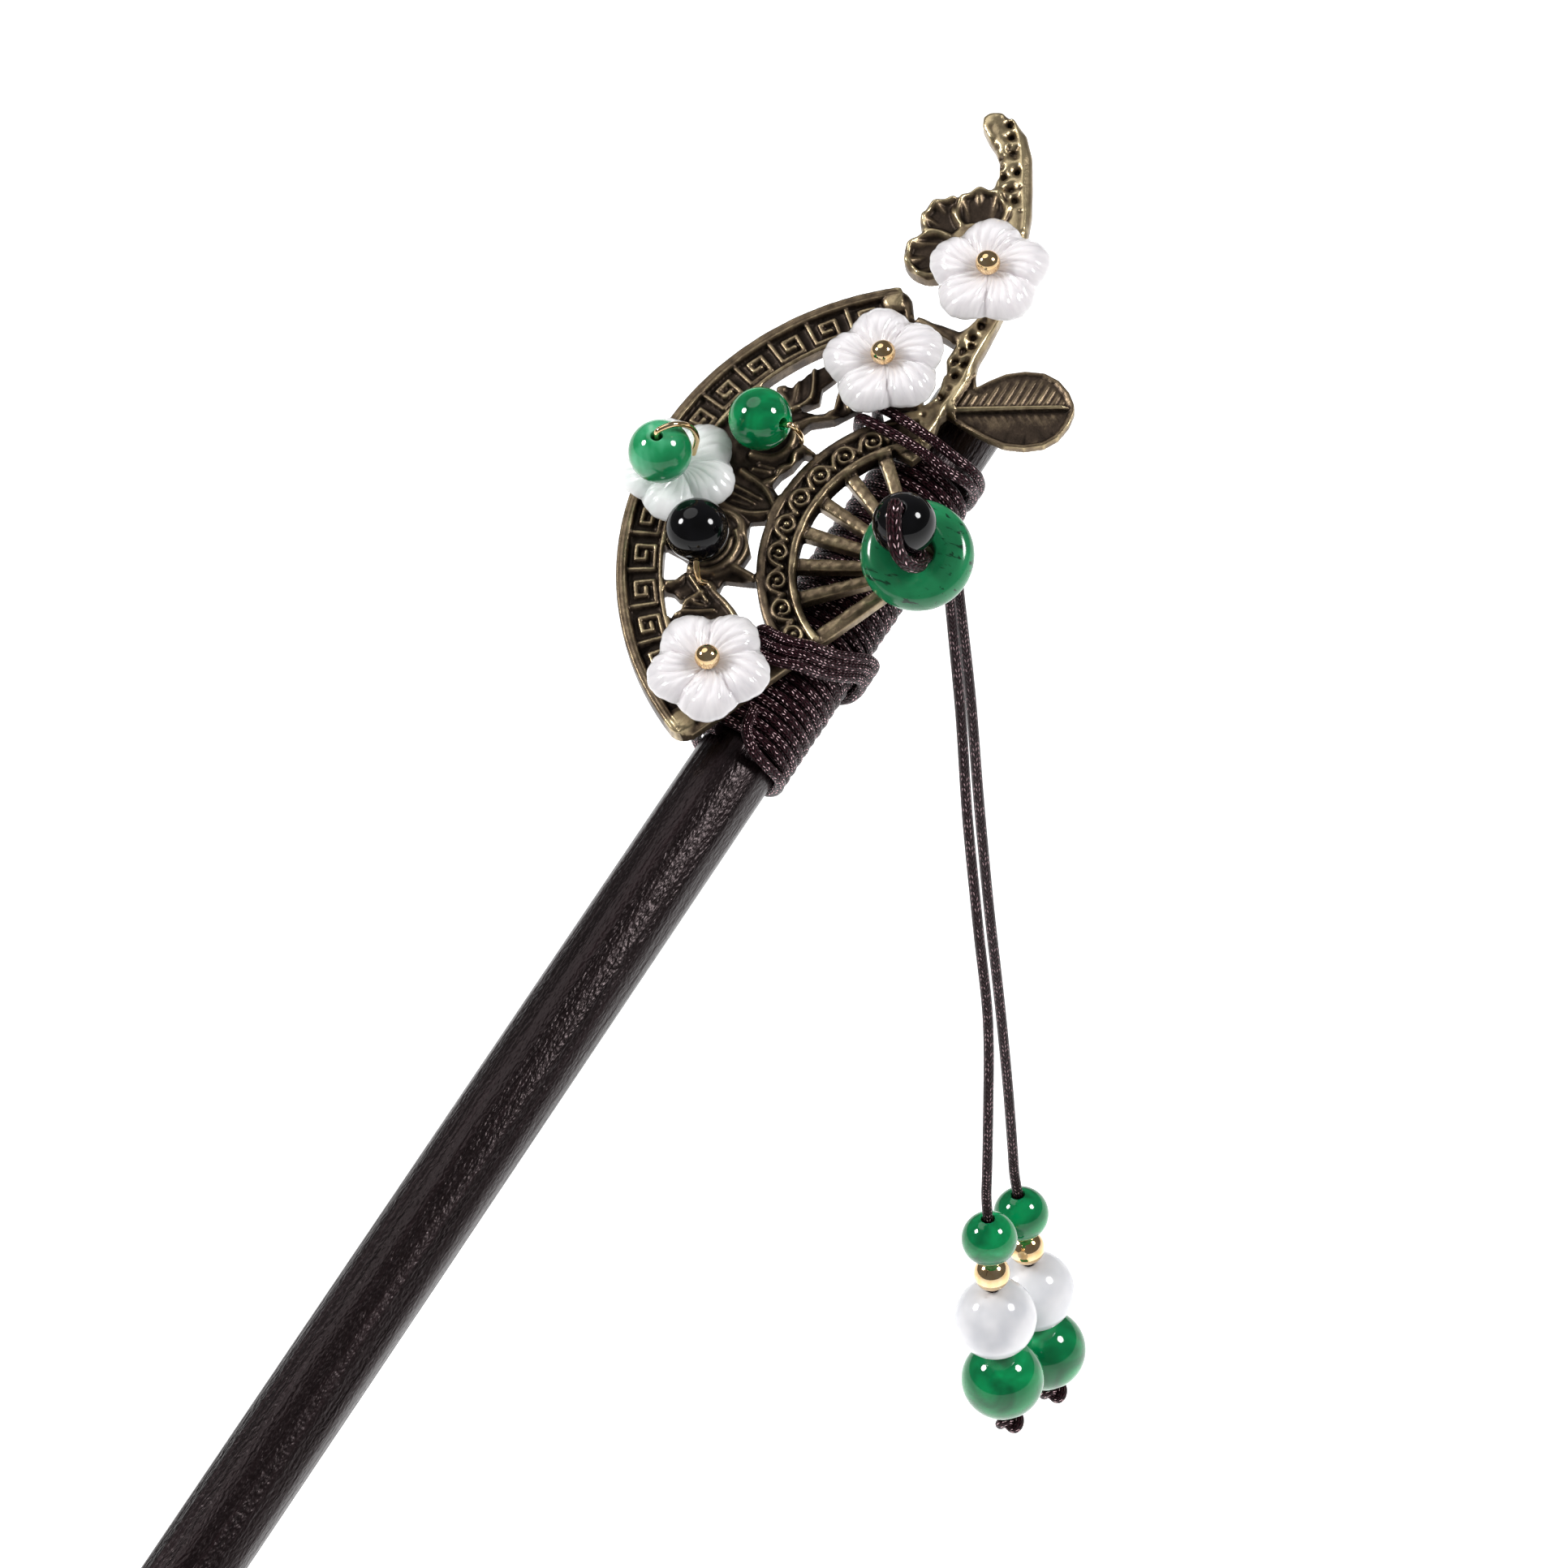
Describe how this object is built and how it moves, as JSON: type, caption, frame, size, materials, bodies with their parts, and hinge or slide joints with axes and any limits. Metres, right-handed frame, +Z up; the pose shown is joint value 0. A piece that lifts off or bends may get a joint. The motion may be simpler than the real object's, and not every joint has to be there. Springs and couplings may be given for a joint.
{
  "type": "hair stick",
  "caption": "Dark wooden hair stick with a pierced bronze fan casting lashed on by braided cord, carved shell flowers, glass beads and hanging beaded cords; it pins up a bun.",
  "frame": {"origin": "on the stick's axis where the hair grips it, half way along the stick", "axes": "+X towards the head with the fan, +Z up, the beaded cords hang along -Z"},
  "size_m": [0.1813, 0.0246, 0.0986],
  "materials": {
    "dark_wood": "satin",
    "antique_bronze": "darkened, worn bright on the high places",
    "braided_cord": "braided, slightly shiny",
    "green_stone": "polished",
    "green_glass": "polished",
    "black_glass": "polished",
    "shell": "pearly",
    "pale_stone": "polished",
    "milk_glass": "polished",
    "gold": "polished"
  },
  "bodies": {
    "root": {"stick": "dark_wood", "fan_casting": "antique_bronze", "cord_windings": "braided_cord", "upper_lashing": "braided_cord", "lower_lashing": "braided_cord", "closing_turn": "braided_cord", "green_disc": "green_stone", "disc_bead": "black_glass", "toggle_cord": "braided_cord", "top_shell_flower": "shell", "middle_shell_flower": "shell", "lower_shell_flower": "shell", "top_gold_pin": "gold", "middle_gold_pin": "gold", "lower_gold_pin": "gold", "pale_flower": "pale_stone", "outer_green_bead": "green_glass", "outer_bead_wire": "gold", "inner_green_bead": "green_glass", "inner_bead_wire": "gold", "black_bead": "black_glass", "black_bead_wire": "gold", "front_cord": "braided_cord", "front_small_bead": "green_glass", "front_gold_bead": "gold", "front_white_bead": "milk_glass", "front_green_bead": "green_glass", "front_knot": "braided_cord", "back_cord": "braided_cord", "back_small_bead": "green_glass", "back_gold_bead": "gold", "back_white_bead": "milk_glass", "back_green_bead": "green_glass", "back_knot": "braided_cord"}
  },
  "joints": []
}
